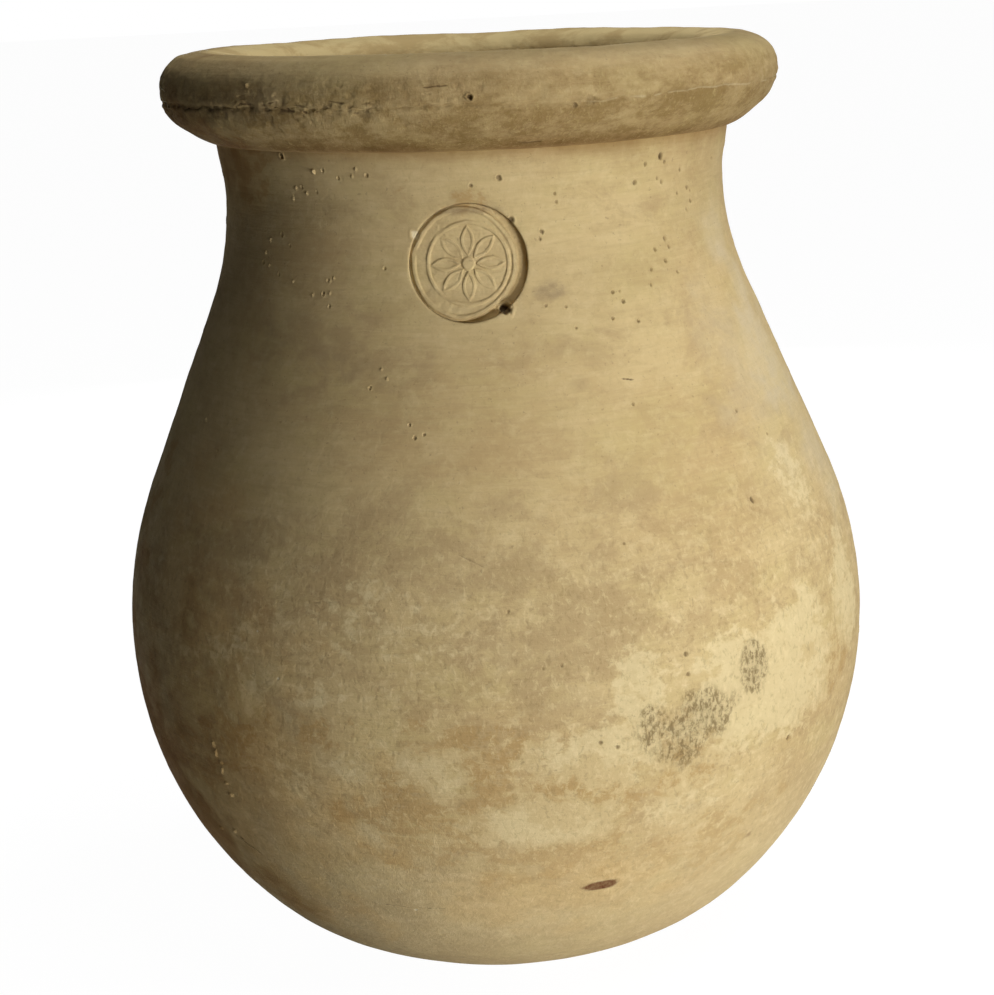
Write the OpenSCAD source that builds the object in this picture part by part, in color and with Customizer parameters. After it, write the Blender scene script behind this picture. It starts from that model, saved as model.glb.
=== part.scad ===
// Large earthenware jar: flat foot, round belly, short neck and a thick rolled rim.
// The body is thrown and joined in rings, one on top of the other. Each ring has a
// tongue along the middle of its wall that stands in a groove of the ring above.
// Lengths are millimetres. Z is up, and the origin is the centre of the foot's underside.

/* [Foot] */
// Radius of the flat that the jar stands on
foot_r = 116; // [100:1:126]
// Height of the upright edge round that flat
foot_edge_h = 8; // [4:1:12]
// Thickness of the floor
floor_t = 26; // [20:1:34]

/* [Body] */
// Thickness of the wall
wall_t = 20; // [16:0.5:24]
// Radius of the jar at its widest
belly_r = 287; // [275:1:320]
// Height of the widest place
belly_z = 257; // [245:1:285]
// Radius of the wall's upright curve below the widest place
bow_r = 286; // [250:1:310]
// Angle that this curve runs through before the tighter curve above the foot takes over
bow_a = 44; // [36:1:50]
// Length of the straight slope between the shoulder's curve and the hollow of the neck
slope_l = 149; // [110:1:170]
// Height from the widest place to the straight neck
shoulder_h = 343; // [320:1:380]
// Radius of the hollow curve that runs from the shoulder into the neck
sweep_r = 224; // [160:1:250]

/* [Neck] */
// Outer radius of the straight neck
neck_r = 188; // [170:1:200]
// Height of the straight neck, up to the underside of the roll
neck_h = 34; // [26:1:50]

/* [Rolled rim] */
// How far the roll stands out past the neck
roll_out = 42; // [34:1:52]
// Height from the underside of the roll to its widest place
roll_low_h = 36; // [28:1:44]
// Height from the roll's widest place to its top
roll_up_h = 33; // [26:1:40]
// Fullness of the roll's underside, where 2 is an ellipse and less is flatter
low_full = 1.5; // [1.3:0.1:2]
// Fullness of the roll's outer top corner, where 2 is an ellipse and more is squarer
top_full = 2.6; // [2:0.1:3.4]
// How far the roll's highest line lies out past the neck
crest_out = 4; // [0:0.5:10]
// Depth of the rounding from the highest line down to the mouth
lip_drop = 20; // [14:1:26]
// How far the fold line lies below the roll's widest place
fold_drop = 5; // [1:0.5:9]
// Depth of the crease along the fold line
crease_d = 2; // [1:0.5:4]
// Height of the crease along the fold line
crease_h = 4; // [2:0.5:6]

/* [Joints between the rings] */
// Height of the joint between the foot and the first ring
foot_seam_z = 45; // [40:1:60]
// How far below the widest place the first ring ends
lower_seam_drop = 107; // [90:1:130]
// How far above the widest place the second ring ends
belly_seam_rise = 73; // [50:1:95]
// How far below the straight neck the third ring ends
shoulder_seam_drop = 130; // [110:1:150]
// Thickness of a tongue
tongue_t = 7; // [5:0.5:8]
// Height of a tongue
tongue_h = 8; // [5:0.5:11]
// Gap left round a tongue and round the seal for the slip that holds it
slip_gap = 0.3; // [0.2:0.05:0.5]

/* [Seal] */
// Radius of the seal
seal_r = 40; // [32:1:46]
// How far the seal's centre lies below the straight neck
seal_drop = 41; // [36:1:48]
// Depth of the round seat that the seal is pressed into
seat_d = 9; // [7:0.5:11]
// How far the seal's face lies under the neck's surface
face_sink = 3; // [2:0.25:4]
// How far the raised pattern stands up from that face
relief_h = 1.5; // [0.75:0.25:1.75]
// Width of the groove round the seal's edge
groove_w = 4; // [2.5:0.5:5]
// Depth of that groove under the seal's face
groove_d = 4; // [2:0.5:4.5]
// Width of the raised band inside the groove
band_w = 2; // [1:0.25:3]
// Width of the sunk track between the band and the fine ring
track_w = 3; // [1.5:0.25:4]
// Width of the fine ring that goes round the petals
ring_w = 1.5; // [1:0.25:2.5]
// Number of petals
petals = 8; // [6:1:10]
// Length of a petal
petal_l = 18; // [14:0.5:20]
// Width of a petal
petal_w = 7; // [4:0.5:8]
// Radius of the button in the middle
button_r = 5; // [3:0.5:7]

/* [Hidden] */
clay = [0.76, 0.66, 0.46];
pale_clay = [0.80, 0.70, 0.50];
arc_steps = 16;
$fn = 96;

// Heights and radii that follow from the sizes above
neck_z = belly_z + shoulder_h;
roll_z = neck_z + neck_h;
roll_mid_z = roll_z + roll_low_h;
jar_h = roll_mid_z + roll_up_h;
fold_z = roll_mid_z - fold_drop;
rim_r = neck_r + roll_out;
crest_r = neck_r + crest_out;
mouth_r = neck_r - wall_t;
lower_seam_z = belly_z - lower_seam_drop;
belly_seam_z = belly_z + belly_seam_rise;
shoulder_seam_z = neck_z - shoulder_seam_drop;
seal_z = neck_z - seal_drop;

// Curve below the widest place, and the tighter one that runs from its end to the foot
bow_c = [belly_r - bow_r, belly_z];
bow_n = [cos(bow_a), -sin(bow_a)];
bow_end = bow_c + bow_r * bow_n;
toe_w = [foot_r, foot_edge_h] - bow_end;
toe_r = -(toe_w * toe_w) / (2 * (toe_w * bow_n));
toe_c = bow_end - toe_r * bow_n;
toe_a = atan2(foot_edge_h - toe_c[1], foot_r - toe_c[0]);

// Slope's angle from upright, and the curve above the widest place that it leaves room for
slope_a = 2 * atan((belly_r - neck_r) / (slope_l + shoulder_h));
shoulder_r = (shoulder_h - slope_l * cos(slope_a)) / sin(slope_a) - sweep_r;
shoulder_c = [belly_r - shoulder_r, belly_z];
sweep_c = [neck_r + sweep_r, neck_z];

// Points along an arc, without its last one
function arc(c, r, a0, a1) =
    [for (i = [0:arc_steps - 1]) let (a = a0 + (a1 - a0) * i / arc_steps) c + r * [cos(a), sin(a)]];

// Points along a squared or flattened ellipse, without its last one
function bend(c, rx, rz, full, a0, a1) =
    [for (i = [0:arc_steps - 1])
        let (a = a0 + (a1 - a0) * i / arc_steps)
        c + [rx * sign(cos(a)) * pow(abs(cos(a)), 2 / full), rz * sign(sin(a)) * pow(abs(sin(a)), 2 / full)]];

// The body's outline from the foot to the neck, moved into the wall by t
function outline(t) = concat(
    arc(toe_c, toe_r - t, toe_a, -bow_a),
    arc(bow_c, bow_r - t, -bow_a, 0),
    arc(shoulder_c, shoulder_r - t, 0, slope_a),
    arc(sweep_c, sweep_r + t, 180 + slope_a, 180),
    [[neck_r - t, neck_z], [neck_r - t, jar_h]]);

// All that lies inside the outline moved in by t, up to the top
module filled(t) {
    points = outline(t);
    polygon(concat([[0, points[0][1]]], points, [[0, jar_h]]));
}

// The layer between the outline moved in by t0 and by t1, from height z0 to z1
module layer(t0, t1, z0, z1) {
    intersection() {
        difference() {
            filled(t0);
            filled(t1);
        }
        translate([0, z0]) square([2 * belly_r, z1 - z0]);
    }
}

// A tongue on the joint at height z, or its groove when it is grown by the gap
module tongue(z, gap) {
    side = (wall_t - tongue_t) / 2 - gap;
    layer(side, wall_t - side, z, z + tongue_h + gap);
}

// A ring of the wall, with a groove below and a tongue above
module wall_ring(z0, z1) {
    difference() {
        layer(0, wall_t, z0, z1);
        tongue(z0, slip_gap);
    }
    tongue(z1, 0);
}

module foot() {
    color(clay) rotate_extrude() {
        square([foot_r, foot_edge_h]);
        intersection() {
            filled(0);
            translate([0, foot_edge_h]) square([2 * belly_r, floor_t - foot_edge_h]);
        }
        layer(0, wall_t, foot_edge_h, foot_seam_z);
        tongue(foot_seam_z, 0);
    }
}

module lower_ring() {
    color(clay) rotate_extrude() wall_ring(foot_seam_z, lower_seam_z);
}

module belly_ring() {
    color(clay) rotate_extrude() wall_ring(lower_seam_z, belly_seam_z);
}

module shoulder_ring() {
    color(clay) rotate_extrude() wall_ring(belly_seam_z, shoulder_seam_z);
}

// The place on the neck's surface where the seal lies, looking straight out of it
seal_tilt = min(slope_a, asin(seal_drop / sweep_r));
module at_seal() {
    translate([0, -(sweep_c[0] - sweep_r * cos(seal_tilt)), seal_z])
        rotate([90 - seal_tilt, 0, 0])
            children();
}

// A layer that follows the hollow of the neck round the seal, between the depths t0 and t1
module seal_layer(t0, t1) {
    rotate_extrude() intersection() {
        difference() {
            translate(sweep_c) circle(sweep_r + t1, $fn = 360);
            translate(sweep_c) circle(sweep_r + t0, $fn = 360);
        }
        translate([0, seal_z - 1.2 * seal_r]) square([sweep_c[0], 2.4 * seal_r]);
    }
}

module neck_ring() {
    color(clay) difference() {
        rotate_extrude() wall_ring(shoulder_seam_z, roll_z);
        intersection() {
            at_seal() cylinder(r = seal_r + slip_gap, h = 2 * seal_r, center = true);
            seal_layer(-wall_t, seat_d);
        }
    }
}

// Section of the whole roll, from the neck's top round to the mouth
module roll() {
    polygon(concat(
        bend([neck_r, roll_mid_z], roll_out, roll_low_h, low_full, -90, 0),
        bend([crest_r, roll_mid_z], rim_r - crest_r, roll_up_h, top_full, 0, 90),
        bend([crest_r, jar_h - lip_drop], crest_r - mouth_r, lip_drop, 2, 90, 180),
        [[mouth_r, jar_h - lip_drop], [mouth_r, roll_z]]));
}

// The crease that the fold line leaves in the roll's outer face
module crease() {
    polygon([[rim_r - crease_d, fold_z], [rim_r, fold_z - crease_h / 2],
             [rim_r + crease_d, fold_z], [rim_r, fold_z + crease_h / 2]]);
}

// The tongue on top of the lower coil, or its groove when it is grown by the gap
module coil_tongue(gap) {
    translate([(mouth_r + rim_r - tongue_t) / 2 - gap, fold_z])
        square([tongue_t + 2 * gap, tongue_h + gap]);
}

module under_coil() {
    color(clay) rotate_extrude() {
        difference() {
            intersection() {
                roll();
                square([2 * rim_r, fold_z]);
            }
            tongue(roll_z, slip_gap);
            crease();
        }
        coil_tongue(0);
    }
}

module lip_coil() {
    color(clay) rotate_extrude() difference() {
        roll();
        square([2 * rim_r, fold_z]);
        coil_tongue(slip_gap);
        crease();
    }
}

// A pointed petal that lies out from the middle
module petal() {
    petal_arc = (petal_l * petal_l + petal_w * petal_w) / (4 * petal_w);
    translate([button_r + 0.5 + petal_l / 2, 0]) intersection() {
        translate([0, petal_arc - petal_w / 2]) circle(petal_arc);
        translate([0, petal_w / 2 - petal_arc]) circle(petal_arc);
    }
}

// The sunk ground of the seal, which leaves the band, ring, petals and button standing
module ground() {
    track_r = seal_r - groove_w - band_w;
    difference() {
        circle(track_r);
        circle(track_r - track_w);
    }
    difference() {
        circle(track_r - track_w - ring_w);
        circle(button_r);
        for (k = [0:petals - 1]) rotate(90 + k * 360 / petals) petal();
    }
}

module seal() {
    color(pale_clay) difference() {
        intersection() {
            at_seal() cylinder(r = seal_r, h = 2 * seal_r, center = true);
            seal_layer(face_sink - relief_h, seat_d - slip_gap);
        }
        intersection() {
            at_seal() linear_extrude(2 * seal_r, center = true) ground();
            seal_layer(-wall_t, face_sink);
        }
        intersection() {
            at_seal() linear_extrude(2 * seal_r, center = true) difference() {
                circle(2 * seal_r);
                circle(seal_r - groove_w);
            }
            seal_layer(-wall_t, face_sink + groove_d);
        }
    }
}

foot();
lower_ring();
belly_ring();
shoulder_ring();
neck_ring();
under_coil();
lip_coil();
seal();
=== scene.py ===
from math import atan, atan2, cos, pi, radians, sin, tan

import bpy
import bmesh
import numpy as np
from mathutils import Matrix, Vector


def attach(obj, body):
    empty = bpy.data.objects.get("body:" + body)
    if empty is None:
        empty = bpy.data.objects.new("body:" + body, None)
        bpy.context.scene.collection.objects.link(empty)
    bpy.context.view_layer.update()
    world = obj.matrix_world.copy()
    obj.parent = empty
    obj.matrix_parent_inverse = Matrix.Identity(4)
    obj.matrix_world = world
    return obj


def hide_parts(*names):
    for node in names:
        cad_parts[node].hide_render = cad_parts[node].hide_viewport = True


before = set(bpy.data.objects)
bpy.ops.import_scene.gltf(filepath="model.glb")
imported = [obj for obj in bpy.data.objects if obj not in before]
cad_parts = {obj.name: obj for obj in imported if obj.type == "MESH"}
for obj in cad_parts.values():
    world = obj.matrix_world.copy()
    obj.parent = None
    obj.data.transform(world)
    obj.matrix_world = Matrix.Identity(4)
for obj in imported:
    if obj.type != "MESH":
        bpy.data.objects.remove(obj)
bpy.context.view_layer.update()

# ---------------------------------------------------------------------------------------
# Foot
# The thick floor and the start of the wall, thrown first from one lump of buff clay. Its
# edge is trimmed, and every ring above is joined on top of it with slip. Sizes are in mm.

foot_r, foot_edge_h, floor_t, wall_t = 116.0, 8.0, 26.0, 20.0
belly_r, belly_z, bow_r, bow_a = 287.0, 257.0, 286.0, radians(44)
shoulder_h, slope_l, sweep_r, neck_r, neck_h = 343.0, 149.0, 224.0, 188.0, 34.0
roll_out, roll_low_h, roll_up_h, low_full, top_full = 42.0, 36.0, 33.0, 1.5, 2.6
crest_out, lip_drop, fold_drop = 4.0, 20.0, 5.0
crease_d, crease_h = 2.0, 4.0
tongue_t, tongue_h, slip_gap = 7.0, 8.0, 0.3
foot_seam_z = 45.0
neck_z = belly_z + shoulder_h
roll_z = neck_z + neck_h
widest_z = roll_z + roll_low_h
jar_top = widest_z + roll_up_h
fold_z = widest_z - fold_drop
rim_r, crest_r, mouth_r = neck_r + roll_out, neck_r + crest_out, neck_r - wall_t
skin = 0.5             # the turned skin lies this far inside the full size, so that its lumps fit
fine, coarse = 2.6, 9.0   # cell heights on the outside and on the inside


def arc(c, r, a0, a1, n=240):
    """Points along an arc of the upright section."""
    a = np.linspace(a0, a1, n)
    return np.c_[c[0] + r * np.cos(a), c[1] + r * np.sin(a)]


slope_a = 2 * atan((belly_r - neck_r) / (slope_l + shoulder_h))
shoulder_r = (shoulder_h - slope_l * cos(slope_a)) / sin(slope_a) - sweep_r
sweep_c = np.array([neck_r + sweep_r, neck_z])


def wall_line(t):
    """The wall's outline from the foot to the top of the neck, moved in by t."""
    bow_c = np.array([belly_r - bow_r, belly_z])
    bow_n = np.array([cos(bow_a), -sin(bow_a)])
    bow_end = bow_c + bow_r * bow_n
    toe_w = np.array([foot_r, foot_edge_h]) - bow_end
    toe_r = -(toe_w @ toe_w) / (2 * (toe_w @ bow_n))
    toe_c = bow_end - toe_r * bow_n
    toe_a = atan2(foot_edge_h - toe_c[1], foot_r - toe_c[0])
    return np.vstack([
        arc(toe_c, toe_r - t, toe_a, -bow_a)[:-1],
        arc(bow_c, bow_r - t, -bow_a, 0)[:-1],
        arc((belly_r - shoulder_r, belly_z), shoulder_r - t, 0, slope_a),
        arc(sweep_c, sweep_r + t, pi + slope_a, pi),
        [[neck_r - t, jar_top]]])


def even(points, step):
    """The same line with its points a step apart."""
    s = np.r_[0, np.cumsum(np.hypot(*np.diff(points, axis=0).T))]
    q = np.linspace(0, s[-1], max(1, round(s[-1] / step)) + 1)
    return np.c_[np.interp(q, s, points[:, 0]), np.interp(q, s, points[:, 1])]


def stretch(t, z0, z1, step):
    """The wall's outline between two heights."""
    line = wall_line(t)
    r0, r1 = np.interp([z0, z1], line[:, 1], line[:, 0])
    inside = line[(line[:, 1] > z0 + 0.2) & (line[:, 1] < z1 - 0.2)]
    return even(np.vstack([[r0, z0], inside, [r1, z1]]), step)


def step_joint(z, gap):
    """A tongue on top of a wall at height z, or its groove when it is grown by the gap."""
    side = (wall_t - tongue_t) / 2
    outer, inner = side - gap, wall_t - side + gap
    top = z + tongue_h + gap
    r = [float(stretch(t, h, h + 2, 5)[0, 0]) for t, h in ((outer, z), (outer, top), (inner, top), (inner, z))]
    return np.array([[r[0], z], [r[1], top], [r[2], top], [r[3], z]])


def turn(section, closed=True, start=60, turns=600):
    """A section turned once round the jar's axis, in a few steps that are then divided."""
    bm = bmesh.new()
    points = [bm.verts.new((r, 0, z)) for r, z in section]
    edges = [bm.edges.new(pair) for pair in zip(points, points[1:])]
    if closed:
        edges.append(bm.edges.new((points[-1], points[0])))
    bmesh.ops.spin(bm, geom=points + edges, cent=(0, 0, 0), axis=(0, 0, 1), angle=2 * pi, steps=start, use_merge=True)
    bmesh.ops.remove_doubles(bm, verts=bm.verts, dist=0.001)
    around = [e for e in bm.edges if abs(e.verts[0].co.z - e.verts[1].co.z) < 1e-3
              and abs(e.verts[0].co.xy.length - e.verts[1].co.xy.length) < 1e-3]
    bmesh.ops.subdivide_edges(bm, edges=around, cuts=turns // start - 1)
    half = pi / start
    for v in bm.verts:
        off = atan2(v.co.y, v.co.x) % (2 * half) - half
        v.co.xy *= cos(off) / cos(half)
    bmesh.ops.recalc_face_normals(bm, faces=bm.faces)
    return bm


def bend(c, rx, rz, full, a0, a1, n=120):
    """Points along a squared or flattened ellipse of the roll's section."""
    a = np.radians(np.linspace(a0, a1, n))
    x, z = np.cos(a), np.sin(a)
    return np.c_[c[0] + rx * np.sign(x) * np.abs(x) ** (2 / full), c[1] + rz * np.sign(z) * np.abs(z) ** (2 / full)]


roll_line = np.vstack([
    bend((neck_r, widest_z), roll_out, roll_low_h, low_full, -90, 0)[:-1],
    bend((crest_r, widest_z), rim_r - crest_r, roll_up_h, top_full, 0, 90)])
lip_line = bend((crest_r, jar_top - lip_drop), crest_r - mouth_r, lip_drop, 2, 90, 180)
fold_r = float(np.interp(fold_z, roll_line[:, 1], roll_line[:, 0]))
skin_line = np.vstack([wall_line(skin)[:-1], roll_line])
skin_line = skin_line[np.r_[True, np.diff(skin_line[:, 1]) > 0]]


def on_jar(angle, z):
    """The point and the outward direction on the jar's outside, at an angle from the front and a height."""
    r0, r, r1 = np.interp([z - 1.5, z, z + 1.5], skin_line[:, 1], skin_line[:, 0])
    a = np.radians(angle)
    n = np.array([3.0, r0 - r1]) / np.hypot(3.0, r0 - r1)
    return np.array([r * sin(a), -r * cos(a), z]), np.array([n[0] * sin(a), -n[0] * cos(a), n[1]])


lattice = np.random.default_rng(17).uniform(-1, 1, (32, 32, 32, 3))


def lumps(p, size):
    """Smooth random vectors at the points p, that change over the given sizes."""
    q = p / np.asarray(size, float) + 100.0
    i = np.floor(q).astype(int)
    f = q - i
    f = f * f * (3 - 2 * f)
    out = np.zeros_like(q)
    for corner in np.ndindex(2, 2, 2):
        w = np.prod(np.where(corner, f, 1 - f), axis=1)
        k = (i + corner) % 32
        out += w[:, None] * lattice[k[:, 0], k[:, 1], k[:, 2]]
    return out


def ease(x, a, b):
    """0 below a, 1 above b, and smooth between."""
    t = np.clip((np.asarray(x, float) - a) / (b - a), 0, 1)
    return t * t * (3 - 2 * t)


# Marks in the clay: angle from the front, height, half width, half height, depth, turn, darkness
pits = [
    (-41.5, 631, 2.2, 3), (-33, 621, 1.6, 2.2), (-30.6, 622, 1.4, 1.2), (-22.6, 623, 1.2, 1), (-20.3, 619, 1.5, 1.2),
    (-23.7, 618, 1.2, 1), (-27.1, 617, 1.2, 1), (-38.9, 609, 1.4, 1), (-37.1, 610, 1.2, 1), (-36, 606, 1.5, 1.2),
    (-33.1, 607, 1.2, 1), (-40.2, 602, 1.4, 1), (-44.1, 577, 1.6, 1.3), (-48.2, 573, 1.4, 1.2), (-41.5, 570, 1.2, 1),
    (-49.7, 564, 1.5, 1.4), (-50.3, 557, 1.6, 1.2), (-48.2, 555, 1.2, 1), (-44.5, 550, 1.4, 1.1), (-39.9, 546, 1.3, 1),
    (-30.4, 548, 1.4, 1.3), (-29.1, 550, 1.2, 1), (-31.3, 539, 1.6, 1.4), (-29.8, 540, 1.3, 1), (-29.6, 531, 1.3, 1),
    (-34.1, 538, 1.2, 1), (-17.4, 557, 1.3, 1.1), (-15.6, 485, 1.2, 1), (-18.7, 479, 1.3, 1), (-16.8, 491, 1.2, 1),
    (-11, 456, 1.3, 1.1), (-8.5, 450, 1.2, 1), (-10, 448, 1.4, 1), (-58, 445, 1.5, 1.2), (-51, 428, 1.4, 1),
    (45.1, 620, 2.6, 3), (46.6, 616, 1.6, 1.6), (40.7, 616, 1.6, 1.6), (52.4, 609, 1.5, 1.6), (45.9, 602, 1.5, 1.4),
    (44.6, 605, 1.3, 1.2), (38, 604, 1.8, 1.8), (55, 595, 1.6, 1.8), (56.4, 592, 1.4, 1.2), (51.2, 592, 1.3, 1),
    (56.1, 585, 1.8, 2), (54.2, 579, 1.5, 1.4), (68.1, 613, 1.5, 1.4), (74.9, 573, 1.6, 1.4), (7.1, 615, 2, 1.6),
    (1.3, 611, 1.6, 1.2), (18.8, 602, 1.3, 1), (19.1, 596, 1.3, 1), (45.3, 562, 1.8, 2), (46.2, 556, 1.6, 1.4),
    (41.9, 556, 1.4, 1.4), (44.4, 547, 1.6, 1.8), (40, 543, 1.5, 1.4), (47.3, 538, 1.5, 1.4), (39.1, 533, 1.4, 1.2),
    (15.6, 577, 1.8, 1.6), (15.1, 572, 1.4, 1), (14.9, 528, 1.3, 1), (18.9, 526, 1.2, 1), (29.4, 532, 1.5, 1.4),
    (31, 532, 1.2, 1), (31.3, 525, 1.6, 1.6), (28.2, 515, 1.4, 1.4), (33.8, 511, 1.5, 1.5), (20.2, 512, 1.3, 1),
    (28.2, 459, 1.4, 1.2), (50.6, 440, 1.5, 1.3), (57, 419, 1.5, 1.4), (21.5, 373, 1.3, 1), (46.9, 381, 1.3, 0.8),
    (48.2, 208, 2.4, 3), (2, 671, 2.2, 3), (-38.5, 683, 2, 2),
    (19.5, 663, 1.6, 1.6), (9.3, 586, 2.4, 2.2), (7, 528, 4.0, 4.5),
    (3.7, 338, 1.2, 0.8), (10.5, 300, 1.4, 1), (7.9, 299, 1.1, 0.8), (28.5, 295, 1.8, 1.2), (28.6, 281, 1.7, 1.4),
    (15.2, 243, 1.6, 1.2), (17.6, 238, 1.8, 1.4), (46.7, 382, 2.4, 0.9), (-13.5, 340, 1.1, 0.8)]
marks = [(a, z, r, r * 1.15, d * (-0.75 if a < -12 and k % 2 else 0.9), 0, 0.2 if a < -12 else min(0.9, 0.22 + 0.2 * r))
         for k, (a, z, r, d) in enumerate(pits)]
marks += [
    (22.2, 667, 5.5, 3.6, 1.1, 0, 0.35), (12.8, 639, 9, 1.1, 1.6, 6, 0.9), (-3.5, 680, 11, 0.9, 0.8, 4, 0.5),
    (28.3, 475, 5, 0.7, 0.7, -12, 0.8), (-1.3, 371, 14, 0.6, 0.5, -28, 0.5), (-23, 343, 16, 0.5, 0.4, 4, 0.4),
    (-44, 140, 15, 0.9, 0.9, -24, 0.8), (-15.3, 110, 36, 0.6, 0.7, 0, 0.7), (-20, 671, 8, 0.9, 0.5, -5, 0.6),
    (-27, 668, 7, 0.9, 0.5, -6, 0.6), (-33, 670, 4, 0.8, 0.4, 8, 0.6), (-39, 669, 6, 0.9, 0.5, -6, 0.7),
    (-15, 670, 4, 0.9, 0.6, 8, 0.5), (-74, 676, 22, 0.8, -0.3, -8, -0.8), (-72, 666, 24, 0.7, -0.3, -12, -0.8),
    (-10.7, 579, 3.4, 3.8, 1.1, 0, -0.7), (-30, 288, 1.1, 1.1, 0.5, 0, -1), (-33.9, 318, 1, 1, 0.4, 0, -1), (-14, 108, 1.4, 1.2, 0.4, 0, -1), (-44.3, 226, 2.4, 3, -1.1, 20, 0), (-44, 219, 1.8, 4, -1.3, -10, 0), (-43.3, 213, 2.6, 2.2, -1, 10, 0), (-43.6, 206, 2, 4, -1, -25, 0),
    (-43.4, 196, 3, 1.6, -1.2, 15, 0), (-43, 187, 3.4, 1.8, -1.4, 0, 0), (-46.5, 150, 4, 2, -1.2, 30, 0), (-45.5, 145, 4, 1.5, 1.2, -20, 0.7),
    (-51, 146, 3, 2, -1.2, 0, 0)]
spread = np.random.default_rng(5)
for _ in range(150):    # the sides and the back, which have pits as the front does
    a, z = spread.uniform(80, 282), spread.choice([spread.uniform(430, 632), spread.uniform(60, 430)], p=[0.7, 0.3])
    r = spread.uniform(1.1, 1.9)
    marks.append((a, float(z), r, r * 1.1, r * 0.75, 0, 0.55))


def loosen(bm, z0, z1, cuts=3):
    """Finer cells where a mark will be pressed in, so that it gets its own shape."""
    near = [(on_jar(a, z)[0], 1.2 * max(w, h) + 1.6) for a, z, w, h, d, t, k in marks if z0 - 4 < z < z1 + 4]
    centres = np.array([f.calc_center_median() for f in bm.faces])
    hit = np.zeros(len(centres), bool)
    for spot, reach in near:
        hit |= ((centres - spot) ** 2).sum(1) < (reach + 1) ** 2
    bm.faces.ensure_lookup_table()
    edges = {e for k in np.flatnonzero(hit) for e in bm.faces[int(k)].edges}
    bmesh.ops.subdivide_edges(bm, edges=list(edges), cuts=cuts, use_grid_fill=True)


# Weathering, and painted shade on the shaded left side: angle from the front, height, half width and half height in mm,
# strength
stains_and_painted_shade = {
    "bloom": [
        (-7, 233, 34, 20, 0.7), (17, 217, 44, 18, 0.7),
        (41, 247, 92, 50, 1.0), (21, 276, 24, 28, 0.7), (14, 232, 66, 28, 0.9), (7, 189, 58, 32, 0.9), (-6, 216, 32, 19, 0.7),
        (68, 299, 34, 52, 0.9), (51, 279, 54, 34, 1.0), (29, 185, 54, 26, 0.6), (-35, 276, 13, 22, 0.7), (-23, 277, 26, 12, 0.6), (-42, 300, 30, 10, 0.5), (-30, 215, 26, 30, 0.45), (-14, 330, 60, 30, 0.35),
        (-36, 304, 18, 20, 0.5), (-16, 353, 20, 9, 0.5), (19, 136, 56, 25, 0.45), (-20, 228, 30, 22, 0.5), (-50, 290, 20, 26, 0.4),
        (60, 380, 30, 40, 0.5)],
    "shade": [
        (-9, 372, 118, 40, 0.8), (10, 317, 56, 40, 0.9), (19, 402, 64, 26, 0.5), (-29, 500, 70, 30, 0.65), (5, 402, 42, 22, 0.5), (14, 268, 28, 24, 0.7),
        (-37, 364, 56, 42, 0.45), (11, 276, 42, 28, 0.8), (56, 429, 82, 40, 0.45), (48, 497, 60, 40, 0.4), (-55, 240, 60, 80, 0.6),
        (36, 590, 50, 20, 0.35), (20, 500, 60, 16, 0.3), (-12, 600, 60, 18, 0.4)],
    "ochre": [
        (-66, 190, 50, 110, 0.8), (-72, 330, 30, 80, 0.5), (-52, 620, 40, 30, 0.6),
        (-1, 223, 90, 45, 0.6), (12, 205, 60, 40, 0.8), (28, 212, 40, 24, 0.8), (-22, 249, 48, 30, 0.45), (-50, 200, 50, 60, 0.4), (-40, 240, 40, 40, 0.5), (-9, 184, 58, 34, 0.8), (10, 154, 90, 28, 0.7), (33, 146, 76, 42, 0.6),
        (-3, 600, 60, 18, 0.3), (60, 250, 40, 60, 0.5)],
    "rough": [(29.6, 245, 32, 26, 1.0), (40.2, 272, 12, 16, 0.8), (28, 228, 24, 11, 0.7)],
    "grime": [(-2, 594, 22, 3.2, 0.9), (16.6, 537, 11, 6, 0.9), (19.3, 476, 8, 4.5, 0.8), (-28, 492, 44, 14, 0.3), (-44, 505, 26, 30, 0.35), (-42, 668, 60, 10, 0.6)],
    "rust": [(15.5, 124, 13, 4.2, 1.9), (44.6, 132, 5, 3, 0.4), (30, 179, 9, 6, 0.25)],
    "veil": [(58, 470, 44, 70, 0.4), (70, 470, 44, 80, 0.9), (74, 400, 36, 80, 0.7), (66, 555, 26, 36, 0.5)],
    "tan": [(-50, 190, 130, 150, 0.9), (-50, 330, 60, 90, 0.5), (-62, 620, 50, 40, 0.7), (10, 120, 90, 40, 0.5)],
    # painted shade: the clay is darkened on the jar's shaded left side, from the bowl up to the roll
    "painted_shade": [(-76, 240, 110, 90, 1.2), (-64, 150, 80, 80, 1.4), (-58, 100, 80, 40, 0.9), (-76, 625, 60, 30, 0.9), (-68, 655, 60, 22, 0.9)]}
for kind, most, least in (("bloom", 430, 90), ("shade", 560, 150), ("ochre", 330, 90)):    # the sides and the back
    for _ in range(16):
        stains_and_painted_shade[kind].append((spread.uniform(85, 275), spread.uniform(least, most), spread.uniform(25, 85),
                             spread.uniform(14, 45), spread.uniform(0.4, 0.95)))


def stain_and_shade_amount(p, places):
    """How strongly each point p is covered by the given places of stain and of painted shade."""
    out = np.zeros(len(p))
    edge = lumps(p, 26)[:, 0] * 0.45 + lumps(p, 9)[:, 1] * 0.25
    for a, z, w, h, k in places:
        spot, n = on_jar(a, z)
        side = np.array([cos(radians(a)), sin(radians(a)), 0])
        up = np.cross(n, side)
        q = p - spot
        d = np.hypot(q @ side / w, q @ up / h) + edge
        out = np.maximum(out, k * (1 - ease(d, 0.35, 1.35)) * (np.abs(q @ n) < 60))
    return out


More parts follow.
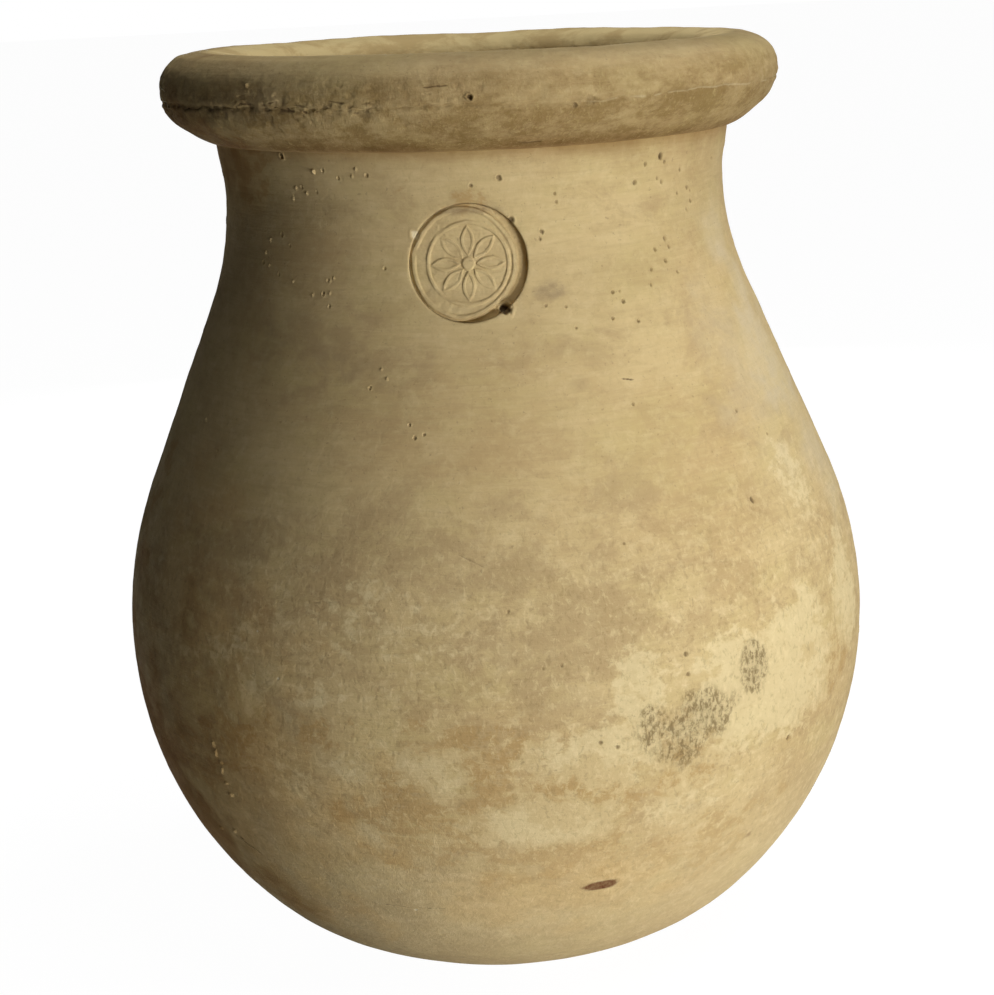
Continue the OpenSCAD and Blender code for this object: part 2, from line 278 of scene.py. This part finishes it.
def work(bm):
    """Moves the turned clay as hands, tools and age did, and gives its stains and its painted shade."""
    p = np.array([v.co for v in bm.verts])
    r, z, a = np.hypot(p[:, 0], p[:, 1]), p[:, 2], np.arctan2(p[:, 0], -p[:, 1])
    out_r = np.interp(z, skin_line[:, 1], skin_line[:, 0])
    body = 1 - ease(z, 622, 634)
    outside = 1 - ease(out_r - r, 1, 8)
    flat = ease(z, 1, 14)
    radial = np.c_[p[:, :2] / np.maximum(r, 1)[:, None], np.zeros(len(p))]
    # throwing lines, faint outside and plain inside
    around = lumps(p, (150, 150, 5.5))[:, 0] * 0.16 + lumps(p, (260, 260, 19))[:, 1] * 0.22
    inner = lumps(p, (300, 300, 16))[:, 2] * 1.1
    move = radial * ((around * outside + inner * (1 - outside)) * body * flat)[:, None]
    move += lumps(p, 70) * 0.45 * flat[:, None] + lumps(p, 22) * 0.16 * flat[:, None] + lumps(p, 7) * 0.07 * flat[:, None]
    # the roll is less even than the wall, and dips a little to the right
    roll = ease(z, 634, 652)
    wave = lumps(np.c_[np.sin(a), -np.cos(a), a * 0] * 2.2, 1.0)
    move[:, 2] += roll * wave[:, 0] * 0.8 - 3.9 * ease(z, widest_z, jar_top + 6)
    move += radial * (roll * wave[:, 1] * 0.9)[:, None]
    up_coil = np.clip((z - roll_z) / (fold_z - roll_z), 0, 1)
    fat = 3.6 * np.sin(pi * up_coil ** 1.5) * ease(r, neck_r + 4, neck_r + 16) * (0.25 + 0.75 * ease(-np.sin(a), 0, 0.9))
    move += radial * (0.75 * fat)[:, None]
    move[:, 2] -= 0.6 * fat
    crust = roll * (1 - 0.6 * ease(z, widest_z + 12, jar_top - 8))
    move += lumps(p, 13) * (0.28 * roll)[:, None] + (lumps(p, (10, 10, 4)) * 0.22 + lumps(p, (4.5, 4.5, 2.6)) * 0.17) * crust[:, None]
    pock = lumps(p, (7, 7, 4.5))[:, 2]
    move -= radial * (crust * 0.5 * ease(pock, 0.30, 0.60))[:, None]
    flare = 4.2 * ease(z, 600, 637) * (1 - ease(r, neck_r + 3, neck_r + 26)) * ease(r, neck_r - 12, neck_r - 4)
    move += radial * flare[:, None]
    move[:, 2] += 0.9 * np.exp(-((r - 215) / 4.5) ** 2) * ease(z, 684, 692) * ease(-np.sin(a), 0, 0.5)
    crease = np.exp(-((z - fold_z) / 7) ** 2) * ease(r, rim_r - 16, rim_r - 6)
    move[:, 2] += crease * (lumps(p, 75)[:, 0] * 2.2 + lumps(p, 18)[:, 1] * 0.8)
    shut = np.clip(1.4 + lumps(np.c_[np.sin(a), -np.cos(a), a * 0 + 4] * 12, 1.0)[:, 0] * 0.5, 0, 1.0)
    lip = np.exp(-((z - fold_z) / 2.3) ** 4) * ease(r, fold_r - 3.2, fold_r - 2.4)
    move += radial * (lip * shut * np.clip(fold_r - 0.02 - r, 0, 2.1))[:, None]
    rough = 0.30 + 0.38 * ease(-np.sin(a), -0.1, 0.5)
    move += lumps(p, 3.6) * (crease * rough)[:, None]
    move -= radial * (crease * rough * 1.3 * ease(lumps(p, (4.2, 4.2, 2.2))[:, 0], 0.3, 0.7))[:, None]
    move[:, 2] -= 0.0115 * p[:, 0] * ease(z, 560, 634)
    dark, chalk = np.zeros(len(p)), np.zeros(len(p))
    for angle, height, w, h, depth, turned, shade in marks:
        spot, n = on_jar(angle, height)
        q = p - spot
        close = np.flatnonzero((q ** 2).sum(1) < (1.9 * max(w, h) + 1) ** 2)
        if not len(close):
            continue
        q = q[close]
        side = np.array([cos(radians(angle)), sin(radians(angle)), 0])
        up = np.cross(n, side)
        c, s = cos(radians(turned)), sin(radians(turned))
        u, v = q @ side, q @ up
        d = np.hypot((c * u + s * v) / w, (c * v - s * u) / h) + lumps(p[close], 1.7)[:, 0] * 0.25
        push = 1 - ease(d, 0.35, 1.05) - 0.24 * np.exp(-((d - 1.22) / 0.24) ** 2) * (depth > 0) * (w < 2.2 * h)
        move[close] -= n * (depth * push)[:, None]
        tint = 1 - ease(d, 0.55, 1.15)
        dark[close] = np.maximum(dark[close], shade * tint)
        chalk[close] = np.maximum(chalk[close], -shade * tint)
    q = p + move
    for vert, co in zip(bm.verts, q):
        vert.co = co
    look = {kind: stain_and_shade_amount(p, places) for kind, places in stains_and_painted_shade.items()}
    seam = np.exp(-((z - fold_z - 0.6) / 0.9) ** 2) * ease(r, rim_r - 4, rim_r - 2) * ease(np.sin(a), 0.15, 0.55)
    look["chalk"] = np.maximum(chalk, 0.48 * seam * ease(lumps(p, 9)[:, 1], -0.7, -0.2))
    look["pit"] = np.maximum(dark, crease * rough * 0.9 * ease(lumps(p, (4.2, 4.2, 2.2))[:, 0], 0.25, 0.6))
    look["soot"] = ease(z, 631, 638) * (1 - 0.22 * ease(z, fold_z - 1, fold_z + 2)) * (1 - 0.8 * ease(z - 0.0115 * p[:, 0], 680, 697)) * ease(r, crest_r - 10, crest_r + 4)
    # painted shadow under the roll, where it overhangs the neck
    look["painted_shade"] = np.maximum(look["painted_shade"], 0.85 * np.exp(-((z - 636 + 0.0115 * p[:, 0]) / 8) ** 2) * ease(r, neck_r - 8, neck_r - 2))
    look["inside"] = np.maximum(ease(out_r - r, 10, 16) * body, (1 - ease(r, crest_r - 8, crest_r + 6)) * ease(z, 640, 660))
    return look


def fire(bm, name, node, clay, stains_and_painted_shade):
    """Makes the finished piece in metres, in place of its node."""
    bmesh.ops.triangulate(bm, faces=[f for f in bm.faces if len(f.verts) > 4])
    bmesh.ops.transform(bm, matrix=Matrix.Scale(0.001, 4), verts=bm.verts)
    mesh = bpy.data.meshes.new(name)
    bm.to_mesh(mesh)
    bm.free()
    for kind, values in stains_and_painted_shade.items():
        mesh.attributes.new(kind, "FLOAT", "POINT").data.foreach_set("value", values.astype(np.float32))
    mesh.shade_smooth()
    mesh.set_sharp_from_angle(angle=radians(50))
    mesh.materials.append(clay)
    piece = bpy.data.objects.new(name, mesh)
    bpy.context.scene.collection.objects.link(piece)
    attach(piece, "root")
    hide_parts(node)
    return piece


class Mix:
    """Nodes of one clay, wired as they are named."""

    def __init__(self, name):
        self.clay = bpy.data.materials.new(name)
        self.clay.use_nodes = True
        self.nodes, self.links = self.clay.node_tree.nodes, self.clay.node_tree.links
        self.shader = self.nodes["Principled BSDF"]
        self.place = self.nodes.new("ShaderNodeTexCoord").outputs["Object"]

    def put(self, value, socket):
        if isinstance(value, bpy.types.NodeSocket):
            self.links.new(value, socket)
        else:
            socket.default_value = value

    def grain(self, size, detail=4, rough=0.6, stretch=(1, 1, 1), twist=0.0):
        """Noise whose lumps are about size metres, stretched along the axes."""
        m = self.nodes.new("ShaderNodeMapping")
        self.links.new(self.place, m.inputs["Vector"])
        m.inputs["Scale"].default_value = [1 / s for s in stretch]
        m.inputs["Location"].default_value = (size * 31, size * 17, size * 7)
        n = self.nodes.new("ShaderNodeTexNoise")
        self.links.new(m.outputs[0], n.inputs["Vector"])
        n.inputs["Scale"].default_value = 1 / size
        n.inputs["Detail"].default_value = detail
        n.inputs["Roughness"].default_value = rough
        n.inputs["Distortion"].default_value = twist
        return n.outputs["Fac"]

    def ramp(self, value, low, high, start=0.0, end=1.0):
        m = self.nodes.new("ShaderNodeMapRange")
        m.interpolation_type = "SMOOTHSTEP"
        self.put(value, m.inputs["Value"])
        for socket, number in zip(("From Min", "From Max", "To Min", "To Max"), (low, high, start, end)):
            m.inputs[socket].default_value = number
        return m.outputs[0]

    def maths(self, how, a, b=0.0):
        m = self.nodes.new("ShaderNodeMath")
        m.operation = how
        self.put(a, m.inputs[0])
        self.put(b, m.inputs[1])
        return m.outputs[0]

    def blend(self, amount, under, over, how="MIX"):
        m = self.nodes.new("ShaderNodeMix")
        m.data_type, m.blend_type = "RGBA", how
        self.put(amount, m.inputs[0])
        self.put(under, m.inputs[6])
        self.put(over, m.inputs[7])
        return m.outputs[2]

    def mark(self, name):
        m = self.nodes.new("ShaderNodeAttribute")
        m.attribute_name = name
        return m.outputs["Fac"]


def srgb(r, g, b):
    """A colour written as it shows, from 0 to 255."""
    return tuple(((c / 255 + 0.055) / 1.055) ** 2.4 if c > 10 else c / 255 / 12.92 for c in (r, g, b)) + (1.0,)


def buff_clay(name, base, pale, dull):
    """Unglazed fired clay that has stood outdoors."""
    k = Mix(name)
    high = k.nodes.new("ShaderNodeSeparateXYZ")
    k.links.new(k.place, high.inputs[0])
    high = high.outputs["Z"]
    low = k.ramp(high, 0.46, 0.30)                                       # the bowl is more weathered than the neck
    fine = k.grain(0.0044, 4, 0.70, (1, 1, 1.4), 0.5)
    worn = k.grain(0.030, 9, 0.68, (1.35, 1.35, 0.8), 0.4)
    broad = k.grain(0.13, 4, 0.6)
    tiny = k.grain(0.010, 7, 0.70, (1.2, 1.2, 0.9), 0.25)
    colour = k.blend(k.ramp(broad, 0.36, 0.66), base, dull)
    colour = k.blend(k.ramp(k.grain(0.09, 5, 0.62, (1, 1, 0.5)), 0.42, 0.70, 0, 0.6), colour, srgb(190, 170, 116))
    colour = k.blend(k.ramp(k.grain(0.007, 5, 0.66, (5, 5, 0.45), 0.5), 0.42, 0.72, 0, 0.22), colour, srgb(158, 132, 92))    # brushed round
    colour = k.blend(k.ramp(k.grain(0.006, 5, 0.66, (4, 4, 0.5), 0.5), 0.48, 0.74, 0, 0.22), colour, pale)
    colour = k.blend(k.maths("MULTIPLY", k.ramp(worn, 0.42, 0.60), k.ramp(low, 0, 1, 0.26, 0.46)), colour, srgb(166, 140, 98))
    colour = k.blend(k.maths("MULTIPLY", k.ramp(tiny, 0.50, 0.64), k.ramp(low, 0, 1, 0.20, 0.40)), colour, pale)

    def patch(kind, tone, most, spread=3.0, edge=0.13, by=worn):
        value = k.maths("ADD", k.maths("MULTIPLY", k.mark(kind), 0.8), k.maths("MULTIPLY", k.maths("SUBTRACT", by, 0.5), spread))
        amount = k.maths("MULTIPLY", k.ramp(value, 0.42 - edge, 0.42 + edge, 0, most), k.ramp(k.mark(kind), 0.0, 0.2))
        return k.blend(amount, colour, tone)

    mixed = k.maths("ADD", k.maths("MULTIPLY", worn, 0.55), k.maths("MULTIPLY", tiny, 0.45))
    colour = patch("shade", srgb(172, 148, 106), 0.60, 2.4, 0.34)
    colour = patch("bloom", srgb(210, 190, 142), 0.56, 3.6, 0.16, mixed)
    colour = patch("ochre", srgb(172, 139, 84), 0.58, 4.2, 0.14, mixed)
    colour = patch("bloom", srgb(217, 201, 155), 0.34, 2.2, 0.16, tiny)
    colour = k.blend(k.maths("MULTIPLY", k.mark("veil"), k.ramp(worn, 0.34, 0.62, 0.25, 0.6)), colour, srgb(206, 193, 162))
    flecks = k.maths("MULTIPLY", k.ramp(fine, 0.54, 0.66), k.ramp(low, 0, 1, 0.09, 0.32))
    colour = k.blend(flecks, colour, srgb(226, 208, 160))
    flecks = k.maths("MULTIPLY", k.ramp(fine, 0.46, 0.35), k.ramp(low, 0, 1, 0.10, 0.30))
    colour = k.blend(flecks, colour, srgb(134, 112, 74))
    colour = k.blend(k.ramp(k.grain(0.0026, 2, 0.5), 0.66, 0.76, 0, 0.30), colour, srgb(112, 90, 60))
    # paler below the belly towards the foot: painted light bounced up from the floor
    colour = k.blend(k.ramp(high, 0.24, 0.05, 0, 0.42), colour, srgb(228, 206, 158))
    colour = k.blend(k.mark("tan"), colour, k.blend(1.0, colour, (1.06, 0.97, 0.84, 1), "MULTIPLY"))
    # painted shade, darkest on the shaded left side and in the band under the roll
    colour = k.blend(k.maths("MULTIPLY", k.mark("painted_shade"), k.ramp(worn, 0.3, 0.6, 0.7, 1)), colour, k.blend(1.0, colour, (0.58, 0.47, 0.33, 1), "MULTIPLY"))
    crust = k.grain(0.0031, 5, 0.74, (1, 1, 1.6), 0.2)
    colour = k.blend(k.maths("MULTIPLY", k.ramp(k.mark("rough"), 0.1, 0.5), k.ramp(crust, 0.44, 0.60, 0.0, 0.80)), colour, srgb(128, 107, 68))
    colour = k.blend(k.maths("MULTIPLY", k.mark("rough"), k.ramp(crust, 0.40, 0.28, 0, 0.6)), colour, srgb(222, 204, 160))
    colour = k.blend(k.maths("MULTIPLY", k.mark("grime"), k.ramp(mixed, 0.40, 0.58, 0.2, 0.7)), colour, srgb(130, 110, 84))
    colour = k.blend(k.maths("MULTIPLY", k.ramp(k.mark("rust"), 0.0, 0.9), k.ramp(fine, 0.30, 0.60, 1, 0.75)), colour, srgb(92, 40, 8))
    mossy = k.grain(0.017, 9, 0.74, (1.5, 1.5, 0.8), 0.1)
    soot = k.maths("MULTIPLY", k.mark("soot"), k.ramp(mossy, 0.36, 0.62, 1.15, 0.52))
    colour = k.blend(soot, colour, k.blend(1.0, colour, (0.51, 0.45, 0.34, 1), "MULTIPLY"))
    colour = k.blend(k.maths("MULTIPLY", k.mark("soot"), k.ramp(crust, 0.52, 0.70, 0, 0.36)), colour, srgb(198, 178, 122))
    colour = k.blend(k.maths("MULTIPLY", k.mark("inside"), 0.85), colour, k.blend(k.ramp(worn, 0.44, 0.60, 0, 0.6), srgb(240, 216, 156), srgb(200, 168, 112)))
    colour = k.blend(k.ramp(k.mark("pit"), 0.1, 0.9, 0, 0.85), colour, srgb(84, 64, 42))
    colour = k.blend(k.ramp(k.mark("chalk"), 0.1, 0.9, 0, 0.75), colour, srgb(232, 220, 184))
    k.put(colour, k.shader.inputs["Base Color"])
    k.put(k.ramp(worn, 0.3, 0.7, 0.80, 0.95), k.shader.inputs["Roughness"])
    k.shader.inputs["Specular IOR Level"].default_value = 0.25
    height = k.maths("ADD", k.maths("MULTIPLY", fine, 0.5), k.maths("ADD", worn, k.maths("MULTIPLY", k.grain(0.0045, 3, 0.5, (7, 7, 0.35)), 0.3)))
    height = k.maths("ADD", height, k.maths("MULTIPLY", k.maths("MAXIMUM", k.mark("rough"), k.mark("soot")), k.maths("MULTIPLY", crust, 2.6)))
    bump = k.nodes.new("ShaderNodeBump")
    k.put(k.ramp(low, 0, 1, 0.42, 0.72), bump.inputs["Strength"])
    bump.inputs["Distance"].default_value = 0.0016
    k.put(height, bump.inputs["Height"])
    k.put(bump.outputs[0], k.shader.inputs["Normal"])
    return k.clay


wall_clay = buff_clay("buff_clay", srgb(200, 177, 128), srgb(216, 197, 150), srgb(188, 162, 114))

upright = even(np.array([[foot_r - 3, 0], [foot_r - 0.8, 0.9], [foot_r, 3.5], [foot_r, foot_edge_h]]), 2.0)
foot_section = np.vstack([
    [[0, 0]], [[20, 0], [50, 0], [80, 0], [100, 0]],
    upright[:-1] - [skin, 0], stretch(skin, foot_edge_h, foot_seam_z, fine), step_joint(foot_seam_z, 0),
    stretch(wall_t, floor_t, foot_seam_z, coarse)[::-1],
    [[80, floor_t], [50, floor_t], [20, floor_t], [0, floor_t]]])
bm = turn(foot_section, closed=False)
loosen(bm, 0, foot_seam_z)
fire(bm, "foot_clay", "foot", wall_clay, work(bm))

# ---------------------------------------------------------------------------------------
# Wall rings
# Three thrown rings that make the bowl, the belly and the shoulder. Each stands on the
# tongue of the one below, and the outside is smoothed so that the joints don't show.


def ring_section(z0, z1):
    """Section of a ring of the wall between two joints."""
    return np.vstack([
        stretch(skin, z0, z1, fine), step_joint(z1, 0),
        stretch(wall_t, z0, z1, coarse)[::-1], step_joint(z0, slip_gap)[::-1]])


lower_seam_z, belly_seam_z, shoulder_seam_z = belly_z - 107, belly_z + 73, neck_z - 130
for node, z0, z1 in (("lower_ring", foot_seam_z, lower_seam_z), ("belly_ring", lower_seam_z, belly_seam_z),
                     ("shoulder_ring", belly_seam_z, shoulder_seam_z)):
    bm = turn(ring_section(z0, z1))
    loosen(bm, z0, z1)
    fire(bm, node + "_clay", node, wall_clay, work(bm))

# ---------------------------------------------------------------------------------------
# Neck ring
# The hollow sweep and the straight neck, with the round seat that the seal is pressed into.

seal_r, seal_drop, seat_d = 40.0, 41.0, 9.0
seal_z = neck_z - seal_drop
seal_spot = np.array([0, -(sweep_c[0] - np.sqrt(sweep_r ** 2 - seal_drop ** 2)), seal_z])
seal_n = np.array([0, -(sweep_c[0] + seal_spot[1]), seal_drop]) / sweep_r


def on_neck(u, v, depth):
    """Points at u across and v up from the seal's middle, at a depth under the neck's face."""
    up = np.array([0, seal_n[2], -seal_n[1]])
    p = seal_spot + np.outer(u, [1, 0, 0]) + np.outer(v, up)
    t = np.zeros(len(p))
    for _ in range(12):
        q = p + t[:, None] * seal_n
        t += np.hypot(sweep_c[0] - np.hypot(q[:, 0], q[:, 1]), sweep_c[1] - q[:, 2]) - (sweep_r + depth)
    return p + t[:, None] * seal_n


def disc(section, steps):
    """A round section, given as radius and depth, turned about its own middle and laid on the neck."""
    bm = bmesh.new()
    points = [bm.verts.new((r, 0, d)) for r, d in section]
    edges = [bm.edges.new(pair) for pair in zip(points, points[1:])]
    bmesh.ops.spin(bm, geom=points + edges, cent=(0, 0, 0), axis=(0, 0, 1), angle=2 * pi, steps=steps, use_merge=True)
    bmesh.ops.remove_doubles(bm, verts=bm.verts, dist=0.001)
    return bm


def lay(bm, relief=None):
    """Bends a disc onto the neck, with its face pressed in by the relief."""
    p = np.array([v.co for v in bm.verts])
    depth = p[:, 2] if relief is None else relief(p[:, 0], p[:, 1], p[:, 2])
    for vert, co in zip(bm.verts, on_neck(p[:, 0], p[:, 1], depth)):
        vert.co = co
    bm.normal_update()
    bmesh.ops.recalc_face_normals(bm, faces=bm.faces)


bm = turn(ring_section(shoulder_seam_z, roll_z))
loosen(bm, shoulder_seam_z, roll_z)
plain = bpy.data.meshes.new("neck_plain")
bm.to_mesh(plain)
bm.free()
cutter = disc([[0, -6], [41.5, -6], [41.3, 0.4], [40.7, 0.9], [40.3, 1.7], [40.3, seat_d], [0, seat_d]], 160)
lay(cutter)
seat_mesh = bpy.data.meshes.new("seat")
cutter.to_mesh(seat_mesh)
cutter.free()
neck_blank, seat_tool = bpy.data.objects.new("neck_blank", plain), bpy.data.objects.new("seat_tool", seat_mesh)
for thing in (neck_blank, seat_tool):
    bpy.context.scene.collection.objects.link(thing)
cut = neck_blank.modifiers.new("seat", "BOOLEAN")
cut.operation, cut.object, cut.solver = "DIFFERENCE", seat_tool, "EXACT"
bpy.context.view_layer.update()
bm = bmesh.new()
bm.from_mesh(neck_blank.evaluated_get(bpy.context.evaluated_depsgraph_get()).to_mesh())
for thing in (neck_blank, seat_tool):
    bpy.data.objects.remove(thing)
for mesh in (plain, seat_mesh):
    bpy.data.meshes.remove(mesh)
bmesh.ops.remove_doubles(bm, verts=bm.verts, dist=0.01)
bmesh.ops.recalc_face_normals(bm, faces=bm.faces)
fire(bm, "neck_ring_clay", "neck_ring", wall_clay, work(bm))

# ---------------------------------------------------------------------------------------
# Seal
# A round pad of the same clay, pressed into its seat with a stamp while it was soft. Its
# edge stands clear of the seat most at the right. It carries a plain flower in a ring.

petals, petal_l, petal_w, button_r = 8, 18.0, 7.0, 5.0


def stamp(u, v, flat):
    """Depth of the seal's face under the neck's, where the section says that it is face."""
    rho, turn_a = np.hypot(u, v), np.arctan2(v, u)
    at = np.c_[u, v, np.zeros(len(u))]
    east = np.cos(turn_a + 0.12)
    groove_w = 1.3 + 5.4 * ease(east, -0.25, 0.85) + lumps(at, 9)[:, 0] * 0.5
    groove_d = 0.9 + 4.3 * ease(east, -0.3, 0.6) + lumps(at, 6)[:, 1] * 0.3
    edge = seal_r - groove_w
    depth = 2.2 + lumps(at, 12)[:, 2] * 0.35

    def line(distance, width, height):
        return height * (1 - ease(np.abs(distance), width * 0.3, width * 0.75))

    lift = line(rho - (edge - 1.5), 2.6, 1.0)
    lift = np.maximum(lift, line(rho - 27.6 + lumps(at, 14)[:, 0] * 0.5, 2.1, 0.95))
    for k in range(petals):
        a = radians(90 + 360 * k / petals)
        along, across = u * cos(a) + v * sin(a) - (button_r + 1.5 + petal_l / 2), v * cos(a) - u * sin(a)
        leaf = np.abs(across) - petal_w / 2 * (1 - (2 * along / petal_l) ** 2)
        lift = np.maximum(lift, line(np.where(np.abs(along) < petal_l / 2 + 1, leaf, 9), 2.0, 0.95))
        lift = np.maximum(lift, 0.45 * (1 - ease(leaf, -0.9, 0.3)))
    lift = np.maximum(lift, 1.1 * (1 - ease(rho, button_r - 1.3, button_r)))
    lift *= np.clip(0.85 + lumps(at, 9)[:, 0] * 0.8, 0.1, 1.1)
    depth = depth - lift + lumps(at, 1.8)[:, 0] * 0.12 + lumps(at, 4)[:, 1] * 0.15
    depth += groove_d * ease(rho - edge, -0.5, 0.9)
    depth += 3.2 * (1 - ease(np.hypot(u - 23.5, v + 28.5), 3.4, 5.0))
    return np.where(flat < 5, np.clip(depth, 0.9, 8.0), flat)


rows = np.linspace(0, seal_r - 0.05, 92)
bm = disc(np.vstack([np.c_[rows, np.full(92, 2.0)], [[seal_r, 8.3], [seal_r - 0.6, 8.7], [20, 8.7], [0, 8.7]]]), 420)
lay(bm, stamp)
fire(bm, "seal_clay", "seal", wall_clay, work(bm))

# ---------------------------------------------------------------------------------------
# Rolled rim
# Two fat coils, one on the other. The lower one overhangs the neck, the upper one is
# smoothed over the mouth, and the crease where they meet was only partly closed.

coil_fine = 1.6
under = even(roll_line[roll_line[:, 1] < fold_z - crease_h / 2], coil_fine)
middle = (mouth_r + rim_r) / 2
coil_joint = np.array([[middle + tongue_t / 2, fold_z], [middle + tongue_t / 2, fold_z + tongue_h],
                       [middle - tongue_t / 2, fold_z + tongue_h], [middle - tongue_t / 2, fold_z]])
crease_low = np.array([[fold_r - 0.5, fold_z - 1.1], [fold_r - 1.2, fold_z - 0.4], [fold_r - crease_d, fold_z]])
bore = np.linspace(fold_z, roll_z, 6)
under_section = np.vstack([
    under, crease_low, [[fold_r - 8, fold_z]], coil_joint, np.c_[np.full(6, mouth_r), bore],
    step_joint(roll_z, slip_gap)[::-1]])
bm = turn(under_section, turns=900)
loosen(bm, roll_z, fold_z)
fire(bm, "under_coil_clay", "under_coil", wall_clay, work(bm))

over = even(np.vstack([roll_line[roll_line[:, 1] > fold_z + crease_h / 2], lip_line[1:]]), coil_fine)
bore = np.linspace(jar_top - lip_drop - 3, fold_z, 4)
grow = np.array([[slip_gap, 0], [slip_gap, slip_gap], [-slip_gap, slip_gap], [-slip_gap, 0]])
lip_section = np.vstack([
    over, np.c_[np.full(4, mouth_r), bore], (coil_joint + grow)[::-1],
    [[fold_r - 8, fold_z], [fold_r - crease_d, fold_z], [fold_r - 1.2, fold_z + 0.4], [fold_r - 0.5, fold_z + 1.1]]])
bm = turn(lip_section, turns=900)
loosen(bm, fold_z, jar_top)
fire(bm, "lip_coil_clay", "lip_coil", wall_clay, work(bm))

# ---------------------------------------------------------------------------------------
# Floor, light and camera
# A plain pale floor that shows white and keeps a faint shadow, soft lamps from the right
# and above, and the camera where the photograph was taken from.

floor_mesh = bpy.data.meshes.new("floor")
bm = bmesh.new()
bmesh.ops.create_grid(bm, x_segments=1, y_segments=1, size=30)
bm.to_mesh(floor_mesh)
bm.free()
floor = bpy.data.objects.new("floor", floor_mesh)
bpy.context.scene.collection.objects.link(floor)
paper = Mix("pale_paper")
paper.shader.inputs["Base Color"].default_value = (0.56, 0.56, 0.56, 1)
paper.shader.inputs["Roughness"].default_value = 1
paper.shader.inputs["Specular IOR Level"].default_value = 0
paper.shader.inputs["Emission Color"].default_value = (1, 1, 1, 1)
path = paper.nodes.new("ShaderNodeLightPath")
seen = paper.maths("MAXIMUM", path.outputs["Is Camera Ray"], path.outputs["Is Glossy Ray"])
seen = paper.maths("MAXIMUM", seen, path.outputs["Is Transmission Ray"])
glow = paper.nodes.new("ShaderNodeEmission")
glow.inputs["Color"].default_value = (1, 1, 1, 1)
glow.inputs["Strength"].default_value = 1.15
mixer = paper.nodes.new("ShaderNodeMixShader")
paper.put(paper.maths("MULTIPLY", seen, 0.85), mixer.inputs[0])
paper.put(paper.shader.outputs[0], mixer.inputs[1])
paper.put(glow.outputs[0], mixer.inputs[2])
paper.put(mixer.outputs[0], paper.nodes["Material Output"].inputs["Surface"])
floor_mesh.materials.append(paper.clay)

world = bpy.data.worlds.new("studio")
bpy.context.scene.world = world
world.use_nodes = True
sky = world.node_tree.nodes["Background"]
sky.inputs["Color"].default_value = (1, 1, 1, 1)
sight = world.node_tree.nodes.new("ShaderNodeLightPath")
level = world.node_tree.nodes.new("ShaderNodeMapRange")
level.inputs["To Min"].default_value, level.inputs["To Max"].default_value = 0.005, 1.0
world.node_tree.links.new(sight.outputs["Is Camera Ray"], level.inputs["Value"])
world.node_tree.links.new(level.outputs[0], sky.inputs["Strength"])

for name, turned, lift, far, wide, tall, aim, power in (
        ("low_window", 40, 1, 2.2, 1.2, 0.16, 0.10, 37), ("side_window", 100, 65, 2.6, 1.0, 0.8, 0.38, 27.5),
        ("front_window", 30, 50, 2.6, 1.0, 0.8, 0.38, 12), ("back_window", 182, 5, 2.4, 1.0, 1.0, 0.35, 14)):
    lamp_data = bpy.data.lights.new(name, "AREA")
    lamp_data.shape, lamp_data.size, lamp_data.size_y, lamp_data.energy = "RECTANGLE", wide, tall, power
    lamp = bpy.data.objects.new(name, lamp_data)
    target = Vector((0, 0, aim))
    lamp.location = target + far * Vector((sin(radians(turned)) * cos(radians(lift)), -cos(radians(turned)) * cos(radians(lift)), sin(radians(lift))))
    lamp.rotation_euler = (target - lamp.location).to_track_quat("-Z", "Y").to_euler()
    lamp.visible_camera = False
    bpy.context.scene.collection.objects.link(lamp)

photo_w, photo_h = 994, 995
camera_d, camera_h, focal_px = 1.600, 0.7532, 2091.7
camera_a, pitch, yaw, roll_a = radians(2.05), 0.24918, 0.00328, -0.0510
camera_data = bpy.data.cameras.new("camera")
camera_data.sensor_width = 36
camera_data.lens = focal_px * camera_data.sensor_width / photo_h
camera = bpy.data.objects.new("camera", camera_data)
ahead = Vector((sin(yaw) * cos(pitch), cos(yaw) * cos(pitch), -sin(pitch)))
right = Vector((cos(yaw), -sin(yaw), 0))
above = right.cross(ahead)
right, above = cos(roll_a) * right + sin(roll_a) * above, cos(roll_a) * above - sin(roll_a) * right
stand = Matrix((right, above, -ahead)).transposed().to_4x4()
stand.translation = Vector((0, -camera_d, camera_h))
camera.matrix_world = Matrix.Rotation(camera_a, 4, "Z") @ stand
bpy.context.scene.collection.objects.link(camera)
bpy.context.scene.camera = camera
bpy.context.scene.view_settings.view_transform = "Standard"
